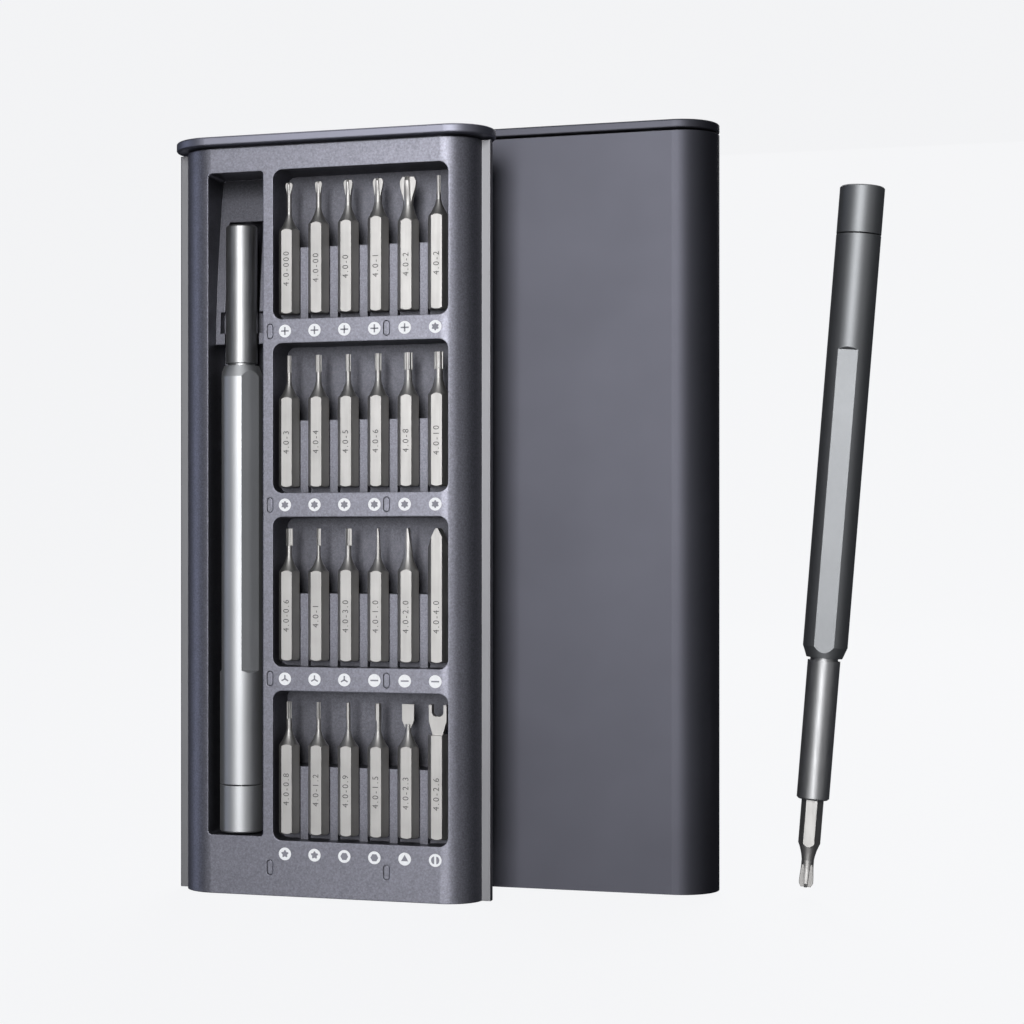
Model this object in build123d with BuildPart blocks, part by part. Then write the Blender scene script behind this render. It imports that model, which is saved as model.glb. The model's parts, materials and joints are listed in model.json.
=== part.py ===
"""Precision screwdriver set: a slim sleeve, the tray of bits that lives in it, and two drivers.

Millimetres, +Z up. The origin is the centre of the tray's flat foot. +X runs along the case's
width and +Y from its front to its back. The tray stands in front of its sleeve, one driver lies
in the tray and the other stands beside the sleeve with a bit in its nose.
"""

import os
from math import cos, radians, sin, sqrt

from build123d import *

os.makedirs("parts", exist_ok=True)

# ---------------------------------------------------------------- case
CASE_WIDTH = 70.4
CASE_DEPTH = 18.0
WALL = 1.2
SEAM = 0.5
CAP_THICKNESS = 1.9
EDGE_ROUND = 0.4

SLEEVE_X = 43.4
SLEEVE_Y = 27.0
SLEEVE_HEIGHT = 165.0
CAVITY_WIDTH = 66.2
CAVITY_DEPTH = CASE_DEPTH - 2 * WALL
GROOVE_WIDTH = 69.4
GROOVE_HEIGHT = 2.4
SLEEVE_CAP_Z = SLEEVE_HEIGHT - CAP_THICKNESS
TUBE_TOP = SLEEVE_CAP_Z - SEAM
PLUG_THICKNESS = 1.75
PLUG_Z = TUBE_TOP - PLUG_THICKNESS
NECK_WIDTH = 60.0
NECK_DEPTH = 12.0
PLUG_SCREW_SPACING = 52.0
SCREW_R = 1.0
SCREW_HEAD_R = 1.9
SCREW_HEAD_HEIGHT = 1.1
SCREW_KEY = 1.5
SCREW_KEY_DEPTH = 0.7
PAD_SIZE = 8.0
PAD_THICKNESS = 1.0
PAD_SPACING = 36.0
PAD_ROUND = 1.0

# ---------------------------------------------------------------- latch
LATCH_X = SLEEVE_X - 6.3
LATCH_HOUSING = (9.4, 8.8, 10.3)
LATCH_BORE = (5.8, 5.2)
LATCH_MOUTH = (4.8, 4.2)
LATCH_FIT = 0.1
SLIDER_TIP = 1.0
SLIDER_FLANGE_Z = 1.1
SLIDER_LENGTH = 6.0
LATCH_STOP = 1.0
CAM_GROOVE = (2.4, 0.6, 3.8)
CAM_GROOVE_Z = 0.6
CAM_PIN_R = 0.25
CAM_PIN_SLOT = (1.7, 0.9)
CAM_PIN_SLOT_MORE = 1.0
CAM_PIN_GAP = 0.35
CAM_PIN_TOP = -0.8
CAM_TAIL_Z = -6.6
CAM_TAIL_LENGTH = 1.2
SPRING_R = 1.6
SPRING_WIRE_R = 0.15
SPRING_TURNS = 5

# ---------------------------------------------------------------- tray
TRAY_WIDTH = 65.4
TRAY_DEPTH = 15.0
TRAY_HEIGHT = 161.4
TRAY_CAP_Z = TRAY_HEIGHT - CAP_THICKNESS
TRAY_TOP = TRAY_CAP_Z - SEAM
FRONT = -TRAY_DEPTH / 2
BACK = TRAY_DEPTH / 2
RAIL_WIDTH = 69.1
RAIL_HEIGHT = 2.0
RAIL_ROOT = 31.9
POCKET_BOTTOM = 12.5
RAIL_ROUND = 0.3
DOWEL_X = 24.0
DOWEL_LENGTH = 6.0
DOWEL_IN_CAP = 1.2

WINDOW_LEFT = -11.2
WINDOW_WIDTH = 38.1
WINDOW_BOTTOM = 11.8
WINDOW_HEIGHT = 31.7
WINDOW_PITCH = 36.8
WINDOW_ROUND = 2.0
WINDOW_COUNT = 4
BIT_SHELF_DEPTH = 5.1
TIP_POCKET_DEPTH = 10.0
SHELF_HEIGHT = 15.5
RIB_WIDTH = 1.8
RIB_DEPTH = 3.2
FIRST_BIT_X = -8.53
BIT_SPACING = 6.55
BITS_PER_WINDOW = 6
BIT_AXIS_DEPTH = 3.0
BIT_BASE_GAP = 1.25

DRIVER_POCKET = (-25.8, -13.4)
DRIVER_POCKET_TOP = 153.8
DRIVER_POCKET_DEPTH = 11.0
DRIVER_POCKET_ROUND = 0.8
FULCRUM_Z = 120.0
RAMP_BOTTOM = 117.6
RAMP_DEPTHS = (4.9, 6.95, 9.9)
RAMP_MIDDLE_Z = 138.6
CHANNEL_R = 3.9
CHANNEL_SLOPE = 0.121
CHANNEL_END = 144.4
NOTCH_DEPTH = 5.6
NOTCH = (9.8, 4.0, 4.6)
CRADLE_FIT = 0.05
CRADLE_HEIGHTS = (30.0, 96.0)
CRADLE_WIDTH = 2.0

CORE_FLOOR = 4.7
CORE_X = (-24.0, 24.7)
CORE_Z = (14.0, 152.0)
COVER_THICKNESS = 1.2
COVER_HALF_WIDTH = 25.2
COVER_Z = (3.0, 157.0)
COVER_FLOOR = BACK - COVER_THICKNESS
TAB_X = (-11.9, 13.7)
TAB_Z = (6.0, 46.05, 82.85, 119.65)
TAB_WIDTH = 1.2
TAB_HEIGHT = 3.0
TAB_FIT = 0.08
TAB_RECESS = 0.05
SIDE_FIT = 0.1
MAGNET_BAR = (33.5, 2.0, 5.0)
MAGNET_PRESSER = (30.5, 1.6)
MAGNET_FACE = -1.8
MAGNET_X = 7.85
MAGNET_RISE = 8.0
DRIVER_MAGNET = (7.0, 1.6, 8.0)

LATCH_POCKET = (1.2, 11.4)
LATCH_POCKET_DEPTH = 10.7
LATCH_POCKET_WIDTH = 9.6
STRIKER_SIZE = 6.0
STRIKER_THICKNESS = 0.8

# ---------------------------------------------------------------- driver
BODY_R = 4.65
FLAT_R = 4.17
FLAT_COUNT = 3
CAP_LENGTH = 10.0
CAP_CHAMFER = 0.3
NOSE_CHAMFER = 0.35
CAP_SEAM = 0.3
BARREL_LENGTH = 24.7
FLAT_LENGTH = 62.8
RUN_OUT_R = 5.0
SHOULDER_LENGTH = 2.4
UNDERCUT = 0.6
SHOULDER_R = 3.75
NOSE_R = 3.4
NOSE_LENGTH = 30.2
SPIGOT_R = 2.9
SPIGOT_LENGTH = 12.0
CAP_BORE_R = 3.0
CAP_FLOOR = 2.5
AXLE_R = 1.5
AXLE_FIT = 0.05
AXLE_HEAD_R = 2.4
AXLE_HEAD = (3.2, 4.6)
AXLE_KEY = 2.0
AXLE_KEY_DEPTH = 0.8
BEARING = (5.0, 9.6)
AXLE_THREAD = 5.0
CUTTER_R = BODY_R + 1.0
RUN_OUT = sqrt(RUN_OUT_R**2 - (RUN_OUT_R - (CUTTER_R - FLAT_R)) ** 2)
BARREL_START = CAP_LENGTH + CAP_SEAM
FLAT_START = CAP_LENGTH + BARREL_LENGTH
FLAT_END = FLAT_START + FLAT_LENGTH
NOSE_START = FLAT_END + SHOULDER_LENGTH
DRIVER_LENGTH = NOSE_START + NOSE_LENGTH

# ---------------------------------------------------------------- bits
BIT_FLATS = 4.0
BIT_LENGTH = 28.0
BIT_CORNER_R = BIT_FLATS / sqrt(3)
SOCKET_FLATS = 4.05
SOCKET_DEPTH = 9.2
SOCKET_MAGNET_R = 1.8
SOCKET_MAGNET_LENGTH = 2.5
SOCKET_MAGNET_RECESS = 0.1

# ---------------------------------------------------------------- where the drivers are
STOWED_AT = (-19.9, -2.6, POCKET_BOTTOM + 0.4)
STOWED_ROLL = -45.0
WORKING_TIP = (96.8, 27.1, 1.6)
WORKING_LEAN = 4.55
WORKING_ROLL = 30.0


def export(piece, name):
    """Labels a finished piece and writes it as its own file."""
    piece.part.label = name
    export_step(piece.part, f"parts/{name}.step")


def upright(x, y, z):
    """A plane that faces up, at one place."""
    return Plane(origin=(x, y, z))


def regular_radius(across_flats):
    """Corner radius of a hexagon, from its size across flats."""
    return across_flats / sqrt(3)


SLEEVE_BASE = upright(SLEEVE_X, SLEEVE_Y, 0)

# ================================================================ sleeve
with BuildPart() as sleeve_shell:
    with BuildSketch(SLEEVE_BASE):
        SlotOverall(CASE_WIDTH, CASE_DEPTH)
        SlotOverall(CAVITY_WIDTH, CAVITY_DEPTH, mode=Mode.SUBTRACT)
        Rectangle(GROOVE_WIDTH, GROOVE_HEIGHT, mode=Mode.SUBTRACT)
    extrude(amount=TUBE_TOP)
export(sleeve_shell, "sleeve_shell")

with BuildPart() as sleeve_end_cap:
    with BuildSketch(SLEEVE_BASE.offset(SLEEVE_CAP_Z)):
        SlotOverall(CASE_WIDTH, CASE_DEPTH)
    extrude(amount=CAP_THICKNESS)
    rims = sleeve_end_cap.faces().filter_by(Axis.Z).edges()
    fillet(rims, EDGE_ROUND)
    with BuildSketch(SLEEVE_BASE.offset(SLEEVE_CAP_Z)):
        with GridLocations(PLUG_SCREW_SPACING, 0, 2, 1):
            Circle(SCREW_R)
    extrude(amount=CAP_THICKNESS - WALL / 2, mode=Mode.SUBTRACT)
export(sleeve_end_cap, "sleeve_end_cap")

with BuildPart() as end_plug:
    with BuildSketch(SLEEVE_BASE.offset(PLUG_Z)):
        SlotOverall(CAVITY_WIDTH, CAVITY_DEPTH)
    extrude(amount=PLUG_THICKNESS)
    with BuildSketch(SLEEVE_BASE.offset(TUBE_TOP)):
        SlotOverall(NECK_WIDTH, NECK_DEPTH)
    extrude(amount=SEAM)
    with BuildSketch(SLEEVE_BASE.offset(PLUG_Z)):
        with GridLocations(PLUG_SCREW_SPACING, 0, 2, 1):
            Circle(SCREW_R)
    extrude(amount=PLUG_THICKNESS + SEAM, mode=Mode.SUBTRACT)
    with BuildSketch(SLEEVE_BASE.offset(PLUG_Z)):
        with GridLocations(PLUG_SCREW_SPACING, 0, 2, 1):
            Circle(SCREW_HEAD_R)
    extrude(amount=SCREW_HEAD_HEIGHT, mode=Mode.SUBTRACT)
export(end_plug, "end_plug")

with BuildPart() as plug_screws:
    with BuildSketch(SLEEVE_BASE.offset(PLUG_Z)):
        with GridLocations(PLUG_SCREW_SPACING, 0, 2, 1):
            Circle(SCREW_HEAD_R)
    extrude(amount=SCREW_HEAD_HEIGHT)
    with BuildSketch(SLEEVE_BASE.offset(PLUG_Z)):
        with GridLocations(PLUG_SCREW_SPACING, 0, 2, 1):
            Circle(SCREW_R)
    extrude(amount=PLUG_THICKNESS + SEAM + CAP_THICKNESS - WALL / 2)
    with BuildSketch(SLEEVE_BASE.offset(PLUG_Z)):
        with GridLocations(PLUG_SCREW_SPACING, 0, 2, 1):
            RegularPolygon(regular_radius(SCREW_KEY), 6)
    extrude(amount=SCREW_KEY_DEPTH, mode=Mode.SUBTRACT)
export(plug_screws, "plug_screws")

with BuildPart() as bumper_pads:
    with BuildSketch(SLEEVE_BASE.offset(PLUG_Z)):
        with GridLocations(PAD_SPACING, 0, 2, 1):
            RectangleRounded(PAD_SIZE, PAD_SIZE, PAD_ROUND)
    extrude(amount=-PAD_THICKNESS)
export(bumper_pads, "bumper_pads")

# ================================================================ push latch
LATCH_BASE = upright(LATCH_X, SLEEVE_Y, PLUG_Z)
HOUSING_BOTTOM = -LATCH_HOUSING[2]
SLIDER_TOP = HOUSING_BOTTOM - SLIDER_TIP + SLIDER_LENGTH
CAM_PIN_Y = -LATCH_BORE[1] / 2 - CAM_PIN_GAP

with BuildPart() as latch_housing:
    with BuildSketch(LATCH_BASE):
        Rectangle(LATCH_HOUSING[0], LATCH_HOUSING[1])
    extrude(amount=HOUSING_BOTTOM)
    with BuildSketch(LATCH_BASE):
        Rectangle(*LATCH_BORE)
    extrude(amount=HOUSING_BOTTOM + LATCH_STOP, mode=Mode.SUBTRACT)
    with BuildSketch(LATCH_BASE):
        Rectangle(*LATCH_MOUTH)
    extrude(amount=HOUSING_BOTTOM, mode=Mode.SUBTRACT)
    with BuildSketch(LATCH_BASE):
        with Locations((0, CAM_PIN_Y)):
            Rectangle(*CAM_PIN_SLOT)
    extrude(amount=CAM_TAIL_Z - CAM_PIN_SLOT_MORE, mode=Mode.SUBTRACT)
export(latch_housing, "latch_housing")

with BuildPart() as latch_slider:
    with BuildSketch(LATCH_BASE.offset(HOUSING_BOTTOM - SLIDER_TIP)):
        Rectangle(LATCH_MOUTH[0] - 2 * LATCH_FIT, LATCH_MOUTH[1] - 2 * LATCH_FIT)
    extrude(amount=SLIDER_LENGTH)
    with BuildSketch(LATCH_BASE.offset(HOUSING_BOTTOM + SLIDER_FLANGE_Z)):
        Rectangle(LATCH_BORE[0] - 2 * LATCH_FIT, LATCH_BORE[1] - 2 * LATCH_FIT)
    extrude(amount=SLIDER_LENGTH - SLIDER_TIP - SLIDER_FLANGE_Z)
    with BuildSketch(LATCH_BASE.offset(HOUSING_BOTTOM + CAM_GROOVE_Z)):
        with Locations((0, (CAM_GROOVE[1] - LATCH_BORE[1]) / 2)):
            Rectangle(CAM_GROOVE[0], CAM_GROOVE[1])
    extrude(amount=CAM_GROOVE[2], mode=Mode.SUBTRACT)
export(latch_slider, "latch_slider")

SPRING_LENGTH = -SLIDER_TOP - 4 * SPRING_WIRE_R
with BuildPart() as latch_spring:
    with BuildLine(LATCH_BASE.offset(SLIDER_TOP + 2 * SPRING_WIRE_R)):
        coil = Helix(SPRING_LENGTH / SPRING_TURNS, SPRING_LENGTH, SPRING_R)
    with BuildSketch(Plane(origin=coil @ 0, z_dir=coil % 0)):
        Circle(SPRING_WIRE_R)
    sweep(is_frenet=True)
export(latch_spring, "latch_spring")

with BuildPart() as latch_cam_pin:
    with BuildSketch(LATCH_BASE.offset(CAM_PIN_TOP)):
        with Locations((0, CAM_PIN_Y)):
            Circle(CAM_PIN_R)
    extrude(amount=CAM_TAIL_Z - CAM_PIN_TOP - CAM_PIN_R)
    with BuildSketch(Plane(origin=(LATCH_X, SLEEVE_Y + CAM_PIN_Y, PLUG_Z + CAM_TAIL_Z), z_dir=(0, 1, 0))):
        Circle(CAM_PIN_R)
    extrude(amount=CAM_TAIL_LENGTH - CAM_PIN_R)
export(latch_cam_pin, "latch_cam_pin")

# ================================================================ tray

def front_plane(y):
    """A plane facing the front, at depth y, whose local axes are world X and Z."""
    return Plane(origin=(0, y, 0), x_dir=(1, 0, 0), z_dir=(0, -1, 0))


def window_bottom(row):
    """Height of a window's lower edge, counted from the tray's foot up."""
    return WINDOW_BOTTOM + row * WINDOW_PITCH


WINDOW_X = WINDOW_LEFT + WINDOW_WIDTH / 2
SHELF_Y = FRONT + BIT_SHELF_DEPTH
TIP_FLOOR_Y = FRONT + TIP_POCKET_DEPTH
RIB_Y = FRONT + RIB_DEPTH
POCKET_X = sum(DRIVER_POCKET) / 2
POCKET_WIDTH = DRIVER_POCKET[1] - DRIVER_POCKET[0]
POCKET_FLOOR_Y = FRONT + DRIVER_POCKET_DEPTH
CHANNEL_Y = STOWED_AT[1] + NOSE_R + 3 * CRADLE_FIT
LOWER_Z = [window_bottom(row) + SHELF_HEIGHT / 2 for row in range(WINDOW_COUNT)]
MIDDLE_Z = [window_bottom(row) + WINDOW_HEIGHT / 2 for row in range(WINDOW_COUNT)]

with BuildPart() as tray_moulding:
    with BuildSketch(Plane.XY):
        SlotOverall(TRAY_WIDTH, TRAY_DEPTH)
    extrude(amount=TRAY_TOP)
    with BuildSketch(Plane.XY.offset(TRAY_TOP)):
        SlotOverall(NECK_WIDTH, NECK_DEPTH)
    extrude(amount=SEAM)

    # Grooves for the two side rails.
    with BuildSketch(Plane.XY):
        Rectangle(TRAY_WIDTH, RAIL_HEIGHT)
        Rectangle(2 * RAIL_ROOT, RAIL_HEIGHT, mode=Mode.SUBTRACT)
    extrude(amount=TRAY_TOP, mode=Mode.SUBTRACT)

    # Bit windows: a shallow opening, a shelf for the shanks and a deeper pocket for the tips.
    with BuildSketch(front_plane(SHELF_Y)):
        with Locations(*[(WINDOW_X, z) for z in MIDDLE_Z]):
            RectangleRounded(WINDOW_WIDTH, WINDOW_HEIGHT, WINDOW_ROUND)
    extrude(amount=BIT_SHELF_DEPTH, mode=Mode.SUBTRACT)
    with BuildSketch(front_plane(TIP_FLOOR_Y)):
        with Locations(*[(WINDOW_X, z) for z in MIDDLE_Z]):
            RectangleRounded(WINDOW_WIDTH, WINDOW_HEIGHT, WINDOW_ROUND)
        with Locations(*[(WINDOW_X, z) for z in LOWER_Z]):
            Rectangle(WINDOW_WIDTH, SHELF_HEIGHT, mode=Mode.SUBTRACT)
    extrude(amount=TIP_POCKET_DEPTH, mode=Mode.SUBTRACT)

    # Ribs between the shanks.
    for rib in range(1, BITS_PER_WINDOW):
        rib_x = FIRST_BIT_X + (rib - 0.5) * BIT_SPACING
        with BuildSketch(front_plane(SHELF_Y)):
            with Locations(*[(rib_x, z) for z in LOWER_Z]):
                Rectangle(RIB_WIDTH, SHELF_HEIGHT)
        extrude(amount=SHELF_Y - RIB_Y)

    # Driver compartment, with a ramp under the nose end.
    with BuildSketch(front_plane(POCKET_FLOOR_Y)):
        with Locations((POCKET_X, (POCKET_BOTTOM + DRIVER_POCKET_TOP) / 2)):
            RectangleRounded(POCKET_WIDTH, DRIVER_POCKET_TOP - POCKET_BOTTOM, DRIVER_POCKET_ROUND)
    extrude(amount=DRIVER_POCKET_DEPTH, mode=Mode.SUBTRACT)
    with BuildSketch(Plane(origin=(DRIVER_POCKET[0], 0, 0), x_dir=(0, 1, 0), z_dir=(1, 0, 0))):
        with BuildLine():
            ramp = ThreePointArc(
                (FRONT + RAMP_DEPTHS[0], FULCRUM_Z),
                (FRONT + RAMP_DEPTHS[1], RAMP_MIDDLE_Z),
                (FRONT + RAMP_DEPTHS[2], DRIVER_POCKET_TOP),
            )
            Polyline(
                ramp @ 1,
                (POCKET_FLOOR_Y, DRIVER_POCKET_TOP),
                (POCKET_FLOOR_Y, RAMP_BOTTOM),
                (FRONT + RAMP_DEPTHS[0], RAMP_BOTTOM),
                ramp @ 0,
            )
        make_face()
    extrude(amount=POCKET_WIDTH)
    # A round-bottomed channel lets the nose sink when it is pressed. It slopes back and ends just
    # past the nose.
    channel_rise = CHANNEL_END - FULCRUM_Z
    channel_drop = CHANNEL_SLOPE * channel_rise
    for height, deeper in ((FULCRUM_Z, 0), (CHANNEL_END, channel_drop)):
        with BuildSketch(upright(STOWED_AT[0], CHANNEL_Y - CHANNEL_R + deeper, height)):
            Circle(CHANNEL_R)
            with Locations((0, -2 * CHANNEL_R)):
                Rectangle(2 * CHANNEL_R, 4 * CHANNEL_R)
    loft(mode=Mode.SUBTRACT)
    with BuildSketch(upright(STOWED_AT[0], CHANNEL_Y - CHANNEL_R, RAMP_BOTTOM)):
        Circle(CHANNEL_R)
        with Locations((0, -CHANNEL_R)):
            Rectangle(2 * CHANNEL_R, 2 * CHANNEL_R)
    extrude(amount=2 * (FULCRUM_Z - RAMP_BOTTOM), mode=Mode.SUBTRACT)
    # Notches beside the nose, in the ramp's two cheeks.
    with BuildSketch(upright(STOWED_AT[0], FRONT + NOTCH_DEPTH, FULCRUM_Z)):
        Rectangle(NOTCH[0], NOTCH[1])
    extrude(amount=NOTCH[2], mode=Mode.SUBTRACT)
    # Two cross ribs that carry the barrel and the flats.
    for cradle_z in CRADLE_HEIGHTS:
        cradle_y = STOWED_AT[1] + BODY_R + CRADLE_FIT
        with BuildSketch(front_plane(POCKET_FLOOR_Y)):
            with Locations((POCKET_X, cradle_z)):
                Rectangle(POCKET_WIDTH, CRADLE_WIDTH)
        extrude(amount=POCKET_FLOOR_Y - cradle_y)

    # Cored back, closed by the back cover.
    with BuildSketch(front_plane(BACK)):
        with Locations((0, sum(COVER_Z) / 2)):
            Rectangle(2 * COVER_HALF_WIDTH, COVER_Z[1] - COVER_Z[0])
    extrude(amount=COVER_THICKNESS, mode=Mode.SUBTRACT)
    with BuildSketch(front_plane(BACK)):
        with Locations((sum(CORE_X) / 2, sum(CORE_Z) / 2)):
            Rectangle(CORE_X[1] - CORE_X[0], CORE_Z[1] - CORE_Z[0])
    extrude(amount=BACK - CORE_FLOOR, mode=Mode.SUBTRACT)
    with BuildSketch(front_plane(BACK)):
        with Locations(*[(MAGNET_X, window_bottom(row) + MAGNET_RISE) for row in range(WINDOW_COUNT)]):
            Rectangle(MAGNET_BAR[0] + 2 * SIDE_FIT, MAGNET_BAR[2] + 2 * SIDE_FIT)
    extrude(amount=BACK - MAGNET_FACE, mode=Mode.SUBTRACT)

    # Holes for the cover's tabs, the cap's dowels and the latch.
    with BuildSketch(front_plane(BACK)):
        with Locations(*[(x, z) for x in TAB_X for z in TAB_Z]):
            SlotOverall(TAB_HEIGHT + 2 * TAB_FIT, TAB_WIDTH + 2 * TAB_FIT, rotation=90)
    extrude(amount=TRAY_DEPTH, mode=Mode.SUBTRACT)
    with BuildSketch(Plane.XY.offset(TRAY_CAP_Z)):
        with GridLocations(2 * DOWEL_X, 0, 2, 1):
            Circle(SCREW_R)
    extrude(amount=DOWEL_IN_CAP - DOWEL_LENGTH, mode=Mode.SUBTRACT)
    with BuildSketch(Plane.XY):
        with Locations((sum(LATCH_POCKET) / 2, 0)):
            Rectangle(LATCH_POCKET[1] - LATCH_POCKET[0], LATCH_POCKET_WIDTH)
    extrude(amount=LATCH_POCKET_DEPTH, mode=Mode.SUBTRACT)
export(tray_moulding, "tray_moulding")

with BuildPart() as tray_cap:
    with BuildSketch(Plane.XY.offset(TRAY_CAP_Z)):
        SlotOverall(CASE_WIDTH, CASE_DEPTH)
    extrude(amount=CAP_THICKNESS)
    cap_rims = tray_cap.faces().filter_by(Axis.Z).edges()
    fillet(cap_rims, EDGE_ROUND)
    with BuildSketch(Plane.XY.offset(TRAY_CAP_Z)):
        with GridLocations(2 * DOWEL_X, 0, 2, 1):
            Circle(SCREW_R)
    extrude(amount=DOWEL_IN_CAP, mode=Mode.SUBTRACT)
export(tray_cap, "tray_cap")

with BuildPart() as tray_cap_dowels:
    with BuildSketch(Plane.XY.offset(TRAY_CAP_Z + DOWEL_IN_CAP)):
        with GridLocations(2 * DOWEL_X, 0, 2, 1):
            Circle(SCREW_R)
    extrude(amount=-DOWEL_LENGTH)
export(tray_cap_dowels, "tray_cap_dowels")

with BuildPart() as side_rails:
    with BuildSketch(Plane.XY):
        Rectangle(RAIL_WIDTH, RAIL_HEIGHT)
        Rectangle(2 * RAIL_ROOT, RAIL_HEIGHT, mode=Mode.SUBTRACT)
    extrude(amount=TRAY_TOP)
    corners = side_rails.edges().filter_by(Axis.Z).group_by(lambda edge: abs(edge.center().X))[-1]
    fillet(corners, RAIL_ROUND)
export(side_rails, "side_rails")

with BuildPart() as tray_back_cover:
    with BuildSketch(front_plane(BACK)):
        with Locations((0, sum(COVER_Z) / 2)):
            Rectangle(2 * (COVER_HALF_WIDTH - SIDE_FIT), COVER_Z[1] - COVER_Z[0] - 2 * SIDE_FIT)
    extrude(amount=COVER_THICKNESS)
    with BuildSketch(front_plane(COVER_FLOOR)):
        with Locations(*[(x, z) for x in TAB_X for z in TAB_Z]):
            SlotOverall(TAB_HEIGHT, TAB_WIDTH, rotation=90)
    extrude(amount=COVER_FLOOR - FRONT - TAB_RECESS)
    with BuildSketch(front_plane(COVER_FLOOR)):
        with Locations(*[(MAGNET_X, window_bottom(row) + MAGNET_RISE) for row in range(WINDOW_COUNT)]):
            Rectangle(*MAGNET_PRESSER)
    extrude(amount=COVER_FLOOR - MAGNET_FACE - MAGNET_BAR[1])
export(tray_back_cover, "tray_back_cover")

with BuildPart() as bit_magnets:
    with BuildSketch(front_plane(MAGNET_FACE)):
        with Locations(*[(MAGNET_X, window_bottom(row) + MAGNET_RISE) for row in range(WINDOW_COUNT)]):
            Rectangle(MAGNET_BAR[0], MAGNET_BAR[2])
    extrude(amount=-MAGNET_BAR[1])
export(bit_magnets, "bit_magnets")

with BuildPart() as driver_magnet:
    with BuildSketch(front_plane(CORE_FLOOR)):
        with Locations((STOWED_AT[0], FULCRUM_Z)):
            Rectangle(DRIVER_MAGNET[0], DRIVER_MAGNET[2])
    extrude(amount=-DRIVER_MAGNET[1])
export(driver_magnet, "driver_magnet")

with BuildPart() as latch_striker:
    with BuildSketch(Plane.XY.offset(LATCH_POCKET_DEPTH)):
        with Locations((sum(LATCH_POCKET) / 2, 0)):
            Rectangle(STRIKER_SIZE, STRIKER_SIZE)
    extrude(amount=-STRIKER_THICKNESS)
export(latch_striker, "latch_striker")


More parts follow.
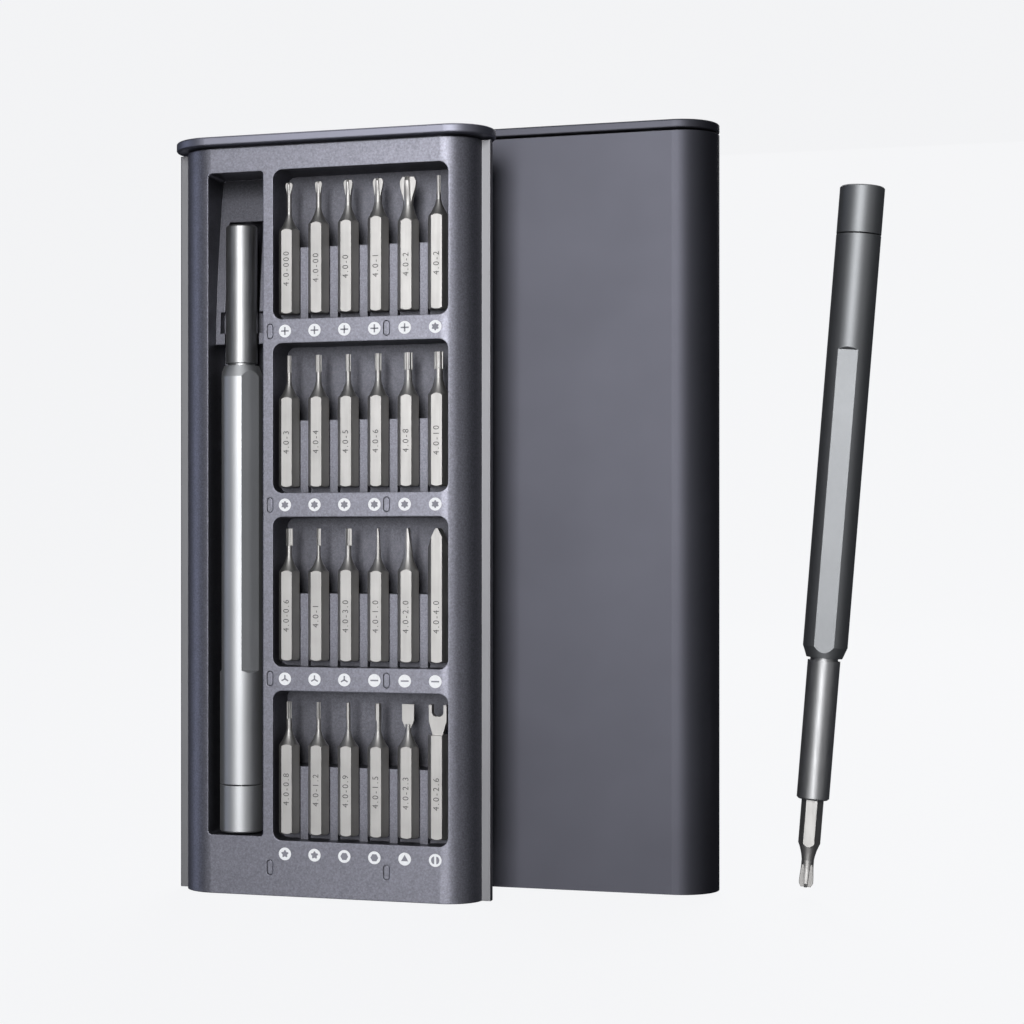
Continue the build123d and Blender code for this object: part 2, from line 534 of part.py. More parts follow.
# ================================================================ drivers
def build_driver(prefix, base, roll):
    """Writes one driver, whose base plane lies on the end of its cap and faces the nose."""
    with BuildPart() as handle:
        with BuildSketch(base.offset(BARREL_START)):
            Circle(BODY_R)
        extrude(amount=FLAT_END - BARREL_START)
        with BuildSketch(base.offset(FLAT_END)):
            Circle(BODY_R)
        with BuildSketch(base.offset(NOSE_START)):
            Circle(SHOULDER_R)
        loft()
        # Three flats, each with a round run-out at the end near the cap.
        for turn in range(FLAT_COUNT):
            angle = radians(roll + 360 / FLAT_COUNT * turn)
            outward = base.x_dir * cos(angle) + base.y_dir * sin(angle)
            with BuildSketch(Plane(origin=base.origin, x_dir=outward, z_dir=outward.cross(base.z_dir))):
                with BuildLine():
                    far = Line((CUTTER_R, NOSE_START), (FLAT_R, NOSE_START))
                    edge = Line(far @ 1, (FLAT_R, FLAT_START))
                    curve = RadiusArc(edge @ 1, (CUTTER_R, FLAT_START - RUN_OUT), RUN_OUT_R)
                    Line(curve @ 1, far @ 0)
                make_face()
            extrude(amount=BODY_R, both=True, mode=Mode.SUBTRACT)
        with BuildSketch(base.offset(NOSE_START)):
            Circle(SPIGOT_R)
        extrude(amount=-SPIGOT_LENGTH, mode=Mode.SUBTRACT)
        with BuildSketch(base.offset(BARREL_START)):
            Circle(SCREW_R)
        extrude(amount=AXLE_THREAD, mode=Mode.SUBTRACT)
    export(handle, f"{prefix}_handle")

    with BuildPart() as chuck:
        with BuildSketch(base.offset(NOSE_START + UNDERCUT)):
            Circle(NOSE_R)
        extrude(amount=NOSE_LENGTH - UNDERCUT)
        rim = chuck.edges().sort_by(lambda edge: (edge.center() - base.origin).dot(base.z_dir))[-1]
        chamfer(rim, NOSE_CHAMFER)
        with BuildSketch(base.offset(NOSE_START)):
            Circle(SPIGOT_R)
        extrude(amount=UNDERCUT)
        with BuildSketch(base.offset(NOSE_START)):
            Circle(SPIGOT_R)
        extrude(amount=-SPIGOT_LENGTH)
        with BuildSketch(base.offset(DRIVER_LENGTH)):
            RegularPolygon(regular_radius(SOCKET_FLATS), 6)
        extrude(amount=-SOCKET_DEPTH, mode=Mode.SUBTRACT)
        with BuildSketch(base.offset(DRIVER_LENGTH - SOCKET_DEPTH)):
            Circle(SOCKET_MAGNET_R)
        extrude(amount=-SOCKET_MAGNET_LENGTH, mode=Mode.SUBTRACT)
    export(chuck, f"{prefix}_chuck")

    with BuildPart() as socket_magnet:
        with BuildSketch(base.offset(DRIVER_LENGTH - SOCKET_DEPTH - SOCKET_MAGNET_RECESS)):
            Circle(SOCKET_MAGNET_R)
        extrude(amount=SOCKET_MAGNET_RECESS - SOCKET_MAGNET_LENGTH)
    export(socket_magnet, f"{prefix}_socket_magnet")

    with BuildPart() as end_cap:
        with BuildSketch(base):
            Circle(BODY_R)
        extrude(amount=CAP_LENGTH)
        end = end_cap.edges().sort_by(lambda edge: (edge.center() - base.origin).dot(base.z_dir))[0]
        chamfer(end, CAP_CHAMFER)
        with BuildSketch(base.offset(CAP_LENGTH)):
            Circle(CAP_BORE_R)
        extrude(amount=CAP_FLOOR - CAP_LENGTH, mode=Mode.SUBTRACT)
    export(end_cap, f"{prefix}_end_cap")

    with BuildPart() as cap_axle:
        with BuildSketch(base.offset(AXLE_HEAD[0])):
            Circle(AXLE_HEAD_R)
        extrude(amount=AXLE_HEAD[1] - AXLE_HEAD[0])
        with BuildSketch(base.offset(AXLE_HEAD[1])):
            Circle(AXLE_R)
        extrude(amount=BARREL_START - AXLE_HEAD[1])
        with BuildSketch(base.offset(BARREL_START)):
            Circle(SCREW_R)
        extrude(amount=AXLE_THREAD)
        with BuildSketch(base.offset(AXLE_HEAD[0])):
            RegularPolygon(regular_radius(AXLE_KEY), 6)
        extrude(amount=AXLE_KEY_DEPTH, mode=Mode.SUBTRACT)
    export(cap_axle, f"{prefix}_cap_axle")

    with BuildPart() as cap_bearing:
        with BuildSketch(base.offset(BEARING[0])):
            Circle(CAP_BORE_R)
            Circle(AXLE_R + AXLE_FIT, mode=Mode.SUBTRACT)
        extrude(amount=BEARING[1] - BEARING[0])
    export(cap_bearing, f"{prefix}_cap_bearing")


# ================================================================ bits
def lobed_outline(radius, lobes):
    """Draws a star with round lobes, inside the sketch that is open."""
    Circle(radius * (1 - 1.1 * LOBE_SHARE))
    with PolarLocations(radius * (1 - LOBE_SHARE), lobes):
        Circle(radius * LOBE_SHARE)


def wing_outline(radius, wings, width):
    """Draws thin wings that meet at the centre, inside the sketch that is open."""
    Circle(width)
    with PolarLocations(radius / 2, wings):
        Rectangle(radius, width)


# Each bit: the kind of its tip, the neck's radius, the tip's radius or half width, and the length
# of the six-sided shank. The top row of the tray comes last.
BIT_ROWS = [
    [
        ("five_lobe", 0.60, 0.55, 18.6),
        ("five_lobe", 0.48, 0.44, 18.6),
        ("hexagon", 0.46, 0.46, 18.6),
        ("hexagon", 0.62, 0.70, 18.6),
        ("spade", 0.60, 1.30, 18.8),
        ("fork", 1.05, 1.90, 21.7),
    ],
    [
        ("three_wing", 0.55, 0.80, 18.7),
        ("three_wing", 0.40, 0.50, 18.7),
        ("three_wing", 0.60, 0.80, 18.9),
        ("blade", 0.55, 0.15, 18.7),
        ("blade", 0.95, 0.15, 18.9),
        ("wedge", 2.00, 0.25, 24.0),
    ],
    [
        ("star", 0.50, 0.48, 18.7),
        ("star", 0.60, 0.70, 18.7),
        ("star", 0.55, 0.60, 18.7),
        ("star", 0.65, 0.75, 18.7),
        ("star", 0.80, 1.00, 18.7),
        ("star", 0.85, 1.05, 18.9),
    ],
    [
        ("cross", 0.52, 0.80, 17.6),
        ("cross", 0.58, 0.78, 18.8),
        ("cross", 0.72, 1.00, 18.9),
        ("cross", 0.80, 1.15, 19.4),
        ("cross", 1.05, 1.80, 18.5),
        ("star", 0.50, 0.42, 19.4),
    ],
]
FLARE_LENGTH = 3.6
FLARE_HOLLOW = 0.34
TIP_LENGTH = 3.6
LOBE_SHARE = 0.22
FLUTE_SHARE = 3.2
WEB_SHARE = 0.4
BLUNT_SHARE = 0.72
FLUTE_TAPER = 4
WING_SHARE = 0.42
SPADE_LENGTH = 3.4
SPADE_FLARE = 1.6
SPADE_THICKNESS = 0.6
FORK_THICKNESS = 2.0
FORK_TIP = 3.4
FORK_GAP = 2.5
FORK_DEPTH = 2.4
FORK_CORNER_R = 0.9
END_CHAMFER = 0.35


def build_bit(name, base, kind, neck_r, tip_r, shank):
    """Writes one bit, whose base plane lies on the end of its shank and faces the tip."""
    side = Plane(origin=base.origin, x_dir=base.x_dir, z_dir=-base.y_dir)
    flared = kind not in ("wedge", "fork")
    neck_start = shank + FLARE_LENGTH if flared else shank
    flute = FLUTE_SHARE * tip_r
    turned_end = {
        "cross": BIT_LENGTH - flute,
        "blade": BIT_LENGTH,
        "wedge": BIT_LENGTH,
        "fork": shank,
        "spade": BIT_LENGTH - SPADE_LENGTH - SPADE_FLARE / 2,
    }.get(kind, BIT_LENGTH - TIP_LENGTH)
    turned_r = neck_r if flared else BIT_CORNER_R

    with BuildPart() as bit:
        with BuildSketch(base):
            RegularPolygon(BIT_CORNER_R, 6)
        extrude(amount=BIT_LENGTH if kind == "cross" else turned_end)
        # Turning leaves a chamfered end, a hollow flare and a round neck on the six-sided bar.
        with BuildSketch(side):
            with BuildLine():
                Polyline((BIT_CORNER_R, shank), (BIT_CORNER_R, END_CHAMFER), (BIT_CORNER_R - END_CHAMFER, 0))
                Polyline((BIT_CORNER_R - END_CHAMFER, 0), (0, 0), (0, BIT_LENGTH))
                if flared:
                    waist = (neck_r + FLARE_HOLLOW * (BIT_CORNER_R - neck_r), shank + FLARE_LENGTH / 2)
                    ThreePointArc((neck_r, neck_start), waist, (BIT_CORNER_R, shank))
                if kind == "cross":
                    Line((neck_r, neck_start), (neck_r, turned_end))
                    swell = Spline(
                        (neck_r, turned_end),
                        ((neck_r + 2 * tip_r) / 3, BIT_LENGTH - flute / 2),
                        (tip_r, BIT_LENGTH - flute / 6),
                        tangents=((0, 1), (0, 1)),
                    )
                    Polyline(swell @ 1, (tip_r * BLUNT_SHARE, BIT_LENGTH), (0, BIT_LENGTH))
                else:
                    Polyline((turned_r, neck_start), (turned_r, BIT_LENGTH), (0, BIT_LENGTH))
            make_face()
        revolve(axis=Axis(base.origin, base.z_dir), mode=Mode.INTERSECT)

        if kind == "cross":
            # A groove in each quarter leaves the four wings.
            groove = 2 * tip_r
            middle = WEB_SHARE * tip_r + groove
            with BuildSketch(base.offset(BIT_LENGTH)):
                with GridLocations(middle, middle, 2, 2):
                    Rectangle(groove, groove)
            extrude(amount=-flute, taper=FLUTE_TAPER, mode=Mode.SUBTRACT)
        elif kind in ("blade", "wedge"):
            # Two slopes meet in a thin edge.
            for sign in (-1, 1):
                with BuildSketch(side):
                    with BuildLine():
                        Polyline(
                            (sign * turned_r, neck_start),
                            (sign * tip_r, BIT_LENGTH),
                            (sign * BIT_FLATS, BIT_LENGTH),
                            (sign * BIT_FLATS, neck_start),
                            (sign * turned_r, neck_start),
                        )
                    make_face()
                extrude(amount=BIT_FLATS, both=True, mode=Mode.SUBTRACT)
        elif kind == "spade":
            flare_start = BIT_LENGTH - SPADE_LENGTH - SPADE_FLARE
            with BuildSketch(side):
                with BuildLine():
                    Polyline(
                        (-neck_r, flare_start),
                        (-tip_r, BIT_LENGTH - SPADE_LENGTH),
                        (-tip_r, BIT_LENGTH),
                        (tip_r, BIT_LENGTH),
                        (tip_r, BIT_LENGTH - SPADE_LENGTH),
                        (neck_r, flare_start),
                        (-neck_r, flare_start),
                    )
                make_face()
            extrude(amount=SPADE_THICKNESS / 2, both=True)
        elif kind == "fork":
            # A plate that widens to two prongs, with a round-cornered gap between them.
            with BuildSketch(side):
                with BuildLine():
                    Polyline(
                        (-neck_r, shank - 1),
                        (-neck_r, shank),
                        (-tip_r, BIT_LENGTH - FORK_TIP),
                        (-tip_r, BIT_LENGTH),
                        (tip_r, BIT_LENGTH),
                        (tip_r, BIT_LENGTH - FORK_TIP),
                        (neck_r, shank),
                        (neck_r, shank - 1),
                        (-neck_r, shank - 1),
                    )
                make_face()
                with Locations((0, BIT_LENGTH)):
                    RectangleRounded(FORK_GAP, 2 * FORK_DEPTH, FORK_CORNER_R, mode=Mode.SUBTRACT)
            extrude(amount=FORK_THICKNESS / 2, both=True)
        else:
            with BuildSketch(base.offset(turned_end)):
                if kind == "star":
                    lobed_outline(tip_r, 6)
                elif kind == "five_lobe":
                    lobed_outline(tip_r, 5)
                elif kind == "three_wing":
                    wing_outline(tip_r, 3, WING_SHARE * tip_r)
                else:
                    RegularPolygon(tip_r, 6)
            extrude(amount=TIP_LENGTH)
    export(bit, name)


# ---------------------------------------------------------------- the set
build_driver("stowed", upright(*STOWED_AT), STOWED_ROLL)

lean = radians(WORKING_LEAN)
toward_cap = Vector(sin(lean), 0, cos(lean))
reach = DRIVER_LENGTH - SOCKET_DEPTH + BIT_LENGTH
working_cap = Vector(*WORKING_TIP) + toward_cap * reach
working_base = Plane(origin=working_cap, x_dir=(-cos(lean), 0, sin(lean)), z_dir=-toward_cap)
build_driver("working", working_base, WORKING_ROLL)
working_bit_base = working_base.offset(reach - BIT_LENGTH)
build_bit("working_bit", working_bit_base, "cross", 1.30, 1.50, 18.6)

for row, bits in enumerate(BIT_ROWS):
    for column, measures in enumerate(bits):
        bit_place = upright(
            FIRST_BIT_X + column * BIT_SPACING,
            FRONT + BIT_AXIS_DEPTH,
            window_bottom(row) + BIT_BASE_GAP,
        )
        build_bit(f"bit_{WINDOW_COUNT - row}_{column + 1}", bit_place, *measures)
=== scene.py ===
"""Looks for the precision screwdriver set: materials, printed icons, size marks, light and camera.

Metres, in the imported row's frame. Every CAD node keeps its own mesh and gets a procedural material.
"""

import json
import math

import bmesh
import bpy
from mathutils import Matrix, Vector


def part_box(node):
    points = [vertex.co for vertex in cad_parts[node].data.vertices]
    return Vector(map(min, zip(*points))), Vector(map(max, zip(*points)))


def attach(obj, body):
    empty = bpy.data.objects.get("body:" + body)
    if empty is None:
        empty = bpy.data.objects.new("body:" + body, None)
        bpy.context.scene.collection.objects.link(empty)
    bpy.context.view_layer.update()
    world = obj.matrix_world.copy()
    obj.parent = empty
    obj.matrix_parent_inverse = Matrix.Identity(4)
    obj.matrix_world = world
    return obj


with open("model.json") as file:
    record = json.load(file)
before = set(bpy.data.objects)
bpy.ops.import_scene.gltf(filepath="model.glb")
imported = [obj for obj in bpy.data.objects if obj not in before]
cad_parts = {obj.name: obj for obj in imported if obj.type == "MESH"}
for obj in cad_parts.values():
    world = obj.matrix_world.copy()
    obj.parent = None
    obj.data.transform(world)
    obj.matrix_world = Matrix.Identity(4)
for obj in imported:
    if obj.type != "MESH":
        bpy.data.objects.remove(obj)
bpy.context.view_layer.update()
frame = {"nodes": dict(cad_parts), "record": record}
nodes = frame["nodes"]


# ---------------------------------------------------------------- material helpers
EVEN = (1.0, 1.0, 1.0)
ALONG_Z = (1.0, 1.0, 0.05)


def new_material(name):
    """An empty node material with its output, and the tools to fill it."""
    material = bpy.data.materials.new(name)
    material.use_nodes = True
    tree = material.node_tree
    tree.nodes.clear()
    output = tree.nodes.new("ShaderNodeOutputMaterial")
    shader = tree.nodes.new("ShaderNodeBsdfPrincipled")
    tree.links.new(shader.outputs["BSDF"], output.inputs["Surface"])
    return material, tree, shader


def add_node(tree, kind, inputs=None, **settings):
    """Adds one node, sets its properties and fills its inputs with values or links."""
    node = tree.nodes.new(kind)
    for key, value in settings.items():
        setattr(node, key, value)
    for key, value in (inputs or {}).items():
        if isinstance(value, bpy.types.NodeSocket):
            tree.links.new(value, node.inputs[key])
        else:
            node.inputs[key].default_value = value
    return node


def grey(value, tint=(1.0, 1.0, 1.0)):
    """A linear colour from one level and a tint."""
    return (value * tint[0], value * tint[1], value * tint[2], 1.0)


def stretched(tree, scale):
    """Object coordinates stretched along the axes."""
    place = add_node(tree, "ShaderNodeTexCoord")
    mapping = add_node(tree, "ShaderNodeMapping", {"Vector": place.outputs["Object"], "Scale": scale})
    return mapping.outputs["Vector"]


def noise(tree, vector, scale, detail=3.0, roughness=0.55):
    """The factor of a noise texture."""
    node = add_node(
        tree, "ShaderNodeTexNoise",
        {"Vector": vector, "Scale": scale, "Detail": detail, "Roughness": roughness},
    )
    return node.outputs["Fac"]


def ramp(tree, factor, stops):
    """A colour ramp through (position, colour) stops."""
    node = add_node(tree, "ShaderNodeValToRGB", {"Fac": factor})
    elements = node.color_ramp.elements
    while len(elements) < len(stops):
        elements.new(0.5)
    for element, (position, colour) in zip(elements, stops):
        element.position = position
        element.color = colour
    return node.outputs["Color"]


def remap(tree, factor, low, high):
    """Maps a 0 to 1 factor onto low to high."""
    node = add_node(
        tree, "ShaderNodeMapRange",
        {"Value": factor, "From Min": 0.3, "From Max": 0.7, "To Min": low, "To Max": high},
    )
    return node.outputs["Result"]


def bump(tree, height, distance, strength=1.0, normal=None):
    """A bump from a height factor, in metres."""
    inputs = {"Height": height, "Distance": distance, "Strength": strength}
    if normal is not None:
        inputs["Normal"] = normal
    return add_node(tree, "ShaderNodeBump", inputs).outputs["Normal"]


def soft_edges(tree, radius):
    """Rounds sharp edges in shading, as real moulded and machined edges are."""
    return add_node(tree, "ShaderNodeBevel", {"Radius": radius}, samples=6).outputs["Normal"]


def edge_mask(tree, radius):
    """Near 1 along sharp edges and 0 on flat faces."""
    rounded = add_node(tree, "ShaderNodeBevel", {"Radius": radius}, samples=4)
    shape = add_node(tree, "ShaderNodeNewGeometry")
    along = add_node(
        tree, "ShaderNodeVectorMath",
        {0: rounded.outputs["Normal"], 1: shape.outputs["Normal"]}, operation="DOT_PRODUCT",
    )
    mask = add_node(
        tree, "ShaderNodeMapRange",
        {"Value": along.outputs["Value"], "From Min": 0.98, "From Max": 0.75, "To Min": 0.0, "To Max": 1.0},
    )
    return mask.outputs["Result"]


def mix_colour(tree, factor, first, second):
    """Mixes two colours, each a value or a socket."""
    node = add_node(tree, "ShaderNodeMix", data_type="RGBA")
    for index, value in ((0, factor), (6, first), (7, second)):
        if isinstance(value, bpy.types.NodeSocket):
            tree.links.new(value, node.inputs[index])
        else:
            node.inputs[index].default_value = value
    return node.outputs[2]


def shaded_hollows(tree, colour):
    """Darkens a colour in deep pockets and corners, to deepen the shadows there."""
    open_sky = add_node(tree, "ShaderNodeAmbientOcclusion", {"Distance": 0.02}, samples=6)
    depth = add_node(
        tree, "ShaderNodeMapRange",
        {"Value": open_sky.outputs["AO"], "From Min": 0.3, "From Max": 0.8, "To Min": 0.65, "To Max": 0.0},
    )
    return mix_colour(tree, depth.outputs["Result"], colour, grey(0.01))


# ---------------------------------------------------------------- materials
def anodised(name, colour, roughness):
    """Satin anodised aluminium: fine bead-blast speckle, faint cloudiness and paler worn edges."""
    material, tree, shader = new_material(name)
    place = stretched(tree, EVEN)
    speckle = noise(tree, place, 9000, 2.0)
    cloud = noise(tree, place, 60, 2.0)
    level, tint = colour
    base = ramp(tree, cloud, [(0.3, grey(level * 0.96, tint)), (0.7, grey(level * 1.04, tint))])
    worn = mix_colour(tree, edge_mask(tree, 0.0002), base, grey(level * 1.7, tint))
    tree.links.new(worn, shader.inputs["Base Color"])
    shader.inputs["Metallic"].default_value = 1.0
    tree.links.new(remap(tree, speckle, roughness - 0.04, roughness + 0.05), shader.inputs["Roughness"])
    rounded = soft_edges(tree, 0.00015)
    tree.links.new(bump(tree, speckle, 0.000004, 0.6, rounded), shader.inputs["Normal"])
    return material


def grained_plastic(name, colour):
    """Moulded tray finish: satin lacquer over a fine grain, bright face on and dark at an angle."""
    material, tree, shader = new_material(name)
    place = stretched(tree, EVEN)
    grain = noise(tree, place, 2600, 3.0, 0.7)
    coarse = noise(tree, place, 700, 2.0)
    level, tint = colour
    base = ramp(
        tree, grain,
        [(0.34, grey(level * 0.8, tint)), (0.5, grey(level, tint)), (0.66, grey(level * 1.22, tint))],
    )
    pale = mix_colour(tree, edge_mask(tree, 0.00016), base, grey(level * 1.3, tint))
    tree.links.new(shaded_hollows(tree, pale), shader.inputs["Base Color"])
    shader.inputs["Metallic"].default_value = 0.95
    tree.links.new(remap(tree, coarse, 0.44, 0.5), shader.inputs["Roughness"])
    shader.inputs["Specular IOR Level"].default_value = 0.3
    rounded = soft_edges(tree, 0.0003)
    tree.links.new(bump(tree, grain, 0.000014, 0.7, rounded), shader.inputs["Normal"])
    return material


def metal(name, level, tint, roughness):
    """Bare or plated metal with a directional machining grain."""
    material, tree, shader = new_material(name)
    lines = noise(tree, stretched(tree, ALONG_Z), 3000, 3.0)
    cloud = noise(tree, stretched(tree, EVEN), 180, 2.0)
    base = ramp(tree, cloud, [(0.3, grey(level * 0.93, tint)), (0.7, grey(level * 1.05, tint))])
    tree.links.new(base, shader.inputs["Base Color"])
    shader.inputs["Metallic"].default_value = 1.0
    tree.links.new(remap(tree, lines, roughness - 0.05, roughness + 0.06), shader.inputs["Roughness"])
    tree.links.new(bump(tree, lines, 0.000002, 0.5, soft_edges(tree, 0.0001)), shader.inputs["Normal"])
    return material


def plain_plastic(name, colour, roughness):
    """Small moulded plastic or rubber part with a faint mould texture."""
    material, tree, shader = new_material(name)
    place = stretched(tree, EVEN)
    grain = noise(tree, place, 3000, 2.0)
    base = ramp(tree, grain, [(0.3, grey(colour * 0.85)), (0.7, grey(colour * 1.15))])
    tree.links.new(base, shader.inputs["Base Color"])
    tree.links.new(remap(tree, grain, roughness - 0.05, roughness + 0.05), shader.inputs["Roughness"])
    tree.links.new(bump(tree, grain, 0.000008, 0.6, soft_edges(tree, 0.0002)), shader.inputs["Normal"])
    return material


COOL = (0.94, 0.95, 1.15)
VIOLET = (0.95, 0.955, 1.12)
NICKEL = (1.02, 1.0, 0.98)

finishes = {
    "anodised_sleeve": anodised("anodised_sleeve", (0.085, COOL), 0.52),
    "anodised_cap": anodised("anodised_cap", (0.24, COOL), 0.5),
    "grained_plastic": grained_plastic("grained_plastic", (0.21, VIOLET)),
    "bright_rail": anodised("bright_rail", (0.20, (1.0, 1.0, 1.05)), 0.5),
    "black_plastic": plain_plastic("black_plastic", 0.02, 0.5),
    "white_plastic": plain_plastic("white_plastic", 0.7, 0.4),
    "soft_pad": plain_plastic("soft_pad", 0.03, 0.8),
    "steel": metal("steel", 0.55, (1.0, 1.0, 1.0), 0.3),
    "magnet": metal("magnet", 0.6, (1.0, 1.0, 1.0), 0.2),
    "handle_aluminium": anodised("handle_aluminium", (0.48, (0.98, 1.0, 1.03)), 0.54),
    "chuck_steel": metal("chuck_steel", 0.40, (0.99, 1.0, 1.02), 0.47),
    "bit_steel": metal("bit_steel", 0.40, NICKEL, 0.5),
}
# Painted shade: a darker copy of the handle aluminium. The working driver's handle and end cap are the same
# parts as the stowed driver's, darkened only to stand in for dimmer light on them.
shaded_handle_finish = anodised("handle_aluminium_painted_shade", (0.25, (0.97, 1.0, 1.04)), 0.54)

for subpart in frame["record"]["subparts"]:
    mesh = nodes[subpart["node"]].data
    mesh.materials.clear()
    finish = finishes[subpart["material_slot"]]
    # The working driver's handle and end cap take the darker painted-shade copy.
    if subpart["node"] in ("working_handle", "working_end_cap"):
        finish = shaded_handle_finish
    mesh.materials.append(finish)


# ---------------------------------------------------------------- printed icons and size marks
def bar(length, width, turn=0.0, start=0.0):
    """Corners of a thin bar that starts near the centre and runs along one direction."""
    ahead = Vector((math.cos(turn), math.sin(turn)))
    aside = Vector((-ahead.y, ahead.x)) * width / 2
    return [ahead * start - aside, ahead * length - aside, ahead * length + aside, ahead * start + aside]


def ring_of(radius_at, steps=48):
    """Points round a centre, with a radius that depends on the angle."""
    turns = [2 * math.pi * step / steps for step in range(steps)]
    return [Vector((math.cos(turn), math.sin(turn))) * radius_at(turn) for turn in turns]


def symbol_outlines(kind):
    """The flat outlines of one bit symbol, in metres, about its centre."""
    size = 0.00085
    thin = 0.0003
    if kind == "cross":
        return [bar(size, thin, math.pi / 2 * quarter) for quarter in range(4)]
    if kind == "three_wing":
        return [bar(size, thin, math.pi / 2 + 2 * math.pi / 3 * third) for third in range(3)]
    if kind == "blade":
        return [bar(size, thin, 0.0, -size)]
    if kind == "star":
        return [ring_of(lambda turn: size * (0.82 + 0.16 * math.cos(6 * turn + math.pi)))]
    if kind == "five_lobe":
        return [ring_of(lambda turn: size * (0.78 + 0.18 * math.cos(5 * (turn - math.pi / 2))))]
    if kind == "hexagon":
        return [ring_of(lambda turn: size, 6)]
    if kind == "triangle":
        turns = (math.pi / 2, math.pi * 7 / 6, math.pi * 11 / 6)
        return [[Vector((math.cos(turn), math.sin(turn))) * size * 1.05 for turn in turns]]
    halves = []
    for sign in (-1, 1):
        turns = [math.pi * (step / 16 - 0.5) for step in range(17)]
        halves.append([
            Vector((sign * (0.00022 + 0.00066 * math.cos(turn)), 0.0008 * math.sin(turn))) for turn in turns
        ])
    return halves


def add_icon(name, x, z, kind, disc_material, symbol_material):
    """A printed white disc with a grey symbol, on the tray's front face."""
    mesh = bmesh.new()
    face_y = TRAY_FRONT - 0.00002
    circle = ring_of(lambda turn: ICON_RADIUS, 64)
    rim = [mesh.verts.new((x + point.x, face_y, z + point.y)) for point in circle]
    skirt = [mesh.verts.new((vert.co.x, TRAY_FRONT, vert.co.z)) for vert in rim]
    mesh.faces.new(rim).material_index = 0
    for index in range(len(rim)):
        after = (index + 1) % len(rim)
        mesh.faces.new((rim[index], skirt[index], skirt[after], rim[after])).material_index = 0
    for outline in symbol_outlines(kind):
        corners = [mesh.verts.new((x + point.x, face_y - 0.00001, z + point.y)) for point in outline]
        mesh.faces.new(corners).material_index = 1
    bmesh.ops.recalc_face_normals(mesh, faces=mesh.faces)
    data = bpy.data.meshes.new(name)
    mesh.to_mesh(data)
    mesh.free()
    data.materials.append(disc_material)
    data.materials.append(symbol_material)
    icon = bpy.data.objects.new(name, data)
    bpy.context.scene.collection.objects.link(icon)
    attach(icon, "tray")


def add_size_mark(name, body, text, place, material):
    """A small engraved number that reads up the front flat of a bit."""
    data = bpy.data.curves.new(name, "FONT")
    data.body = text
    data.size = 0.0018
    data.space_character = 1.35
    data.align_x = "CENTER"
    data.align_y = "CENTER"
    data.extrude = 0.000004
    data.materials.append(material)
    mark = bpy.data.objects.new(name, data)
    mark.matrix_world = Matrix((
        (0.0, -1.0, 0.0, place[0]),
        (0.0, 0.0, -1.0, place[1]),
        (1.0, 0.0, 0.0, place[2]),
        (0.0, 0.0, 0.0, 1.0),
    ))
    bpy.context.scene.collection.objects.link(mark)
    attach(mark, body)


def print_ink(name, level, tint, roughness):
    """Screen-printed ink with a faint mottle."""
    material, tree, shader = new_material(name)
    mottle = noise(tree, stretched(tree, EVEN), 2500, 3.0)
    tree.links.new(ramp(tree, mottle, [(0.3, grey(level * 0.93, tint)), (0.7, grey(level * 1.03, tint))]),
                   shader.inputs["Base Color"])
    tree.links.new(remap(tree, mottle, roughness - 0.05, roughness + 0.05), shader.inputs["Roughness"])
    tree.links.new(bump(tree, mottle, 0.000004, 0.5), shader.inputs["Normal"])
    return material


def engraving(name):
    """A laser-marked metal line, darker and rougher than the flat round it."""
    material, tree, shader = new_material(name)
    streak = noise(tree, stretched(tree, EVEN), 4000, 3.0)
    tree.links.new(ramp(tree, streak, [(0.3, grey(0.05)), (0.7, grey(0.13))]), shader.inputs["Base Color"])
    shader.inputs["Metallic"].default_value = 0.6
    tree.links.new(remap(tree, streak, 0.55, 0.75), shader.inputs["Roughness"])
    return material


TRAY_FRONT = -0.0075
ICON_RADIUS = 0.00135
ICON_HEIGHTS = (0.11965, 0.08285, 0.04605, 0.0090)
FLAT_FRONT = -0.006515
MARK_HEIGHT = 0.0095
ICONS = (
    ("cross", "cross", "cross", "cross", "cross", "star"),
    ("star",) * 6,
    ("three_wing", "three_wing", "three_wing", "blade", "blade", "blade"),
    ("five_lobe", "five_lobe", "hexagon", "hexagon", "triangle", "halves"),
)
SIZES = (
    ("4.0-000", "4.0-00", "4.0-0", "4.0-1", "4.0-2", "4.0-2"),
    ("4.0-3", "4.0-4", "4.0-5", "4.0-6", "4.0-8", "4.0-10"),
    ("4.0-0.6", "4.0-1", "4.0-3.0", "4.0-1.0", "4.0-2.0", "4.0-4.0"),
    ("4.0-0.8", "4.0-1.2", "4.0-0.9", "4.0-1.5", "4.0-2.3", "4.0-2.6"),
)
white_ink = print_ink("white_ink", 0.82, (0.99, 1.0, 1.03), 0.5)
grey_ink = print_ink("grey_ink", 0.22, VIOLET, 0.6)
mark_finish = engraving("engraving")

for row, kinds in enumerate(ICONS):
    for column, kind in enumerate(kinds):
        name = f"{row + 1}_{column + 1}"
        low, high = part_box(f"bit_{name}")
        bit_x = (low[0] + high[0]) / 2
        add_icon(f"icon_{name}", bit_x, ICON_HEIGHTS[row], kind, white_ink, grey_ink)
        mark_place = (bit_x, FLAT_FRONT, low[2] + MARK_HEIGHT)
        add_size_mark(f"size_{name}", f"bit_{name}", SIZES[row][column], mark_place, mark_finish)


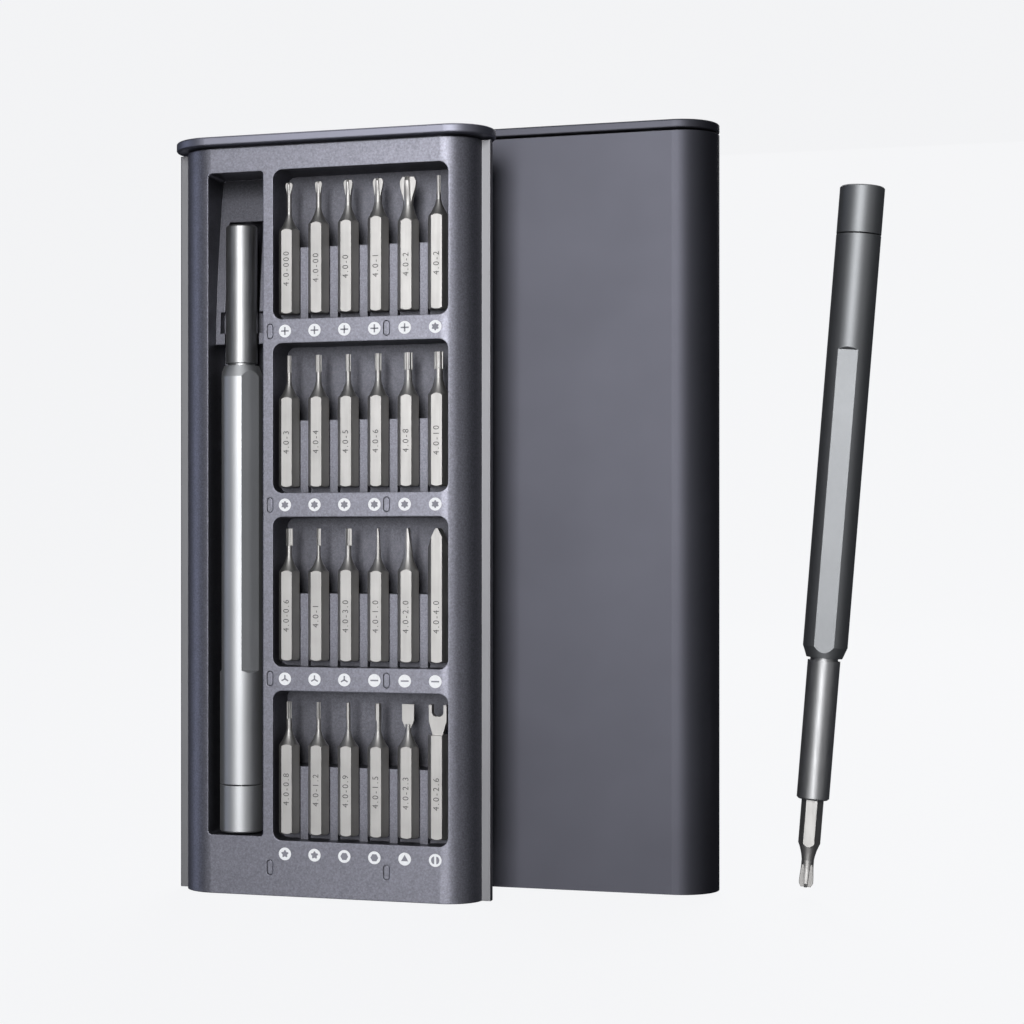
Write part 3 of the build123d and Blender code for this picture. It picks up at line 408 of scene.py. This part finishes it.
# ---------------------------------------------------------------- staging
def add_floor():
    """A plain pale floor that curves up into a backdrop. It neither lights nor shades the set."""
    width, front, back, rise, radius = 8.0, -3.0, 3.0, 4.0, 1.5
    profile = [(front, 0.0)]
    steps = 24
    for step in range(steps + 1):
        angle = math.pi / 2 * step / steps
        profile.append((back - radius + radius * math.sin(angle), radius - radius * math.cos(angle)))
    profile.append((back, rise))
    mesh = bmesh.new()
    rows = [[mesh.verts.new((x, y, z)) for y, z in profile] for x in (-width / 2, width / 2)]
    for index in range(len(profile) - 1):
        mesh.faces.new((rows[0][index], rows[1][index], rows[1][index + 1], rows[0][index + 1]))
    for face in mesh.faces:
        face.smooth = True
    data = bpy.data.meshes.new("floor")
    mesh.to_mesh(data)
    mesh.free()
    floor = bpy.data.objects.new("floor", data)
    bpy.context.scene.collection.objects.link(floor)
    material, tree, shader = new_material("floor")
    shader.inputs["Base Color"].default_value = (0.02, 0.02, 0.02, 1.0)
    shader.inputs["Roughness"].default_value = 0.85
    shader.inputs["Specular IOR Level"].default_value = 0.1
    shader.inputs["Emission Color"].default_value = (0.96, 0.965, 0.98, 1.0)
    shader.inputs["Emission Strength"].default_value = 0.93
    data.materials.append(material)
    floor.location.z = -0.0002
    floor.visible_diffuse = False
    floor.visible_glossy = False
    floor.visible_shadow = False


def add_area(name, place, target, size, power, colour=(1.0, 1.0, 1.0)):
    """A soft rectangular light at a place, aimed at a target."""
    data = bpy.data.lights.new(name, "AREA")
    data.shape = "RECTANGLE"
    data.size, data.size_y = size
    data.energy = power
    data.color = colour
    light = bpy.data.objects.new(name, data)
    light.location = place
    light.rotation_euler = (Vector(target) - Vector(place)).to_track_quat("-Z", "Y").to_euler()
    bpy.context.scene.collection.objects.link(light)
    return light


def add_world():
    """Dim, slightly blue light all round."""
    world = bpy.data.worlds.new("studio")
    world.use_nodes = True
    background = world.node_tree.nodes["Background"]
    background.inputs["Color"].default_value = (0.85, 0.93, 1.1, 1.0)
    background.inputs["Strength"].default_value = 0.035
    bpy.context.scene.world = world


def add_camera():
    """The viewpoint: level, turned 16.7 degrees, with the lens shifted so that uprights stay upright."""
    data = bpy.data.cameras.new("camera")
    data.lens = 75.2
    data.sensor_width = 36
    data.shift_x = 0.1729
    data.shift_y = 0.033
    camera = bpy.data.objects.new("camera", data)
    camera.location = (0.13154, -0.43808, 0.0742)
    turn = math.radians(16.68)
    camera.rotation_euler = (math.pi / 2, 0, turn)
    bpy.context.scene.collection.objects.link(camera)
    bpy.context.scene.camera = camera


add_floor()
add_world()
middle = (0.03, 0.0, 0.08)
add_area("key", (0.09, -1.16, 0.34), middle, (0.42, 0.8), 13.6)
add_area("left", (-1.1, -0.25, 0.15), middle, (0.4, 0.9), 1.6, (0.85, 0.92, 1.15))
add_area("right", (1.1, -0.6, 0.15), middle, (0.35, 0.8), 0.6)
add_area("low", (0.05, -0.9, -0.7), middle, (0.8, 0.3), 1.5)
add_area("back", (0.05, 2.4, 1.3), middle, (1.6, 1.6), 18.0)
add_area("top", (0.0, 0.1, 1.1), middle, (0.8, 0.6), 3.0)
add_camera()

bpy.context.scene.view_settings.view_transform = "Standard"
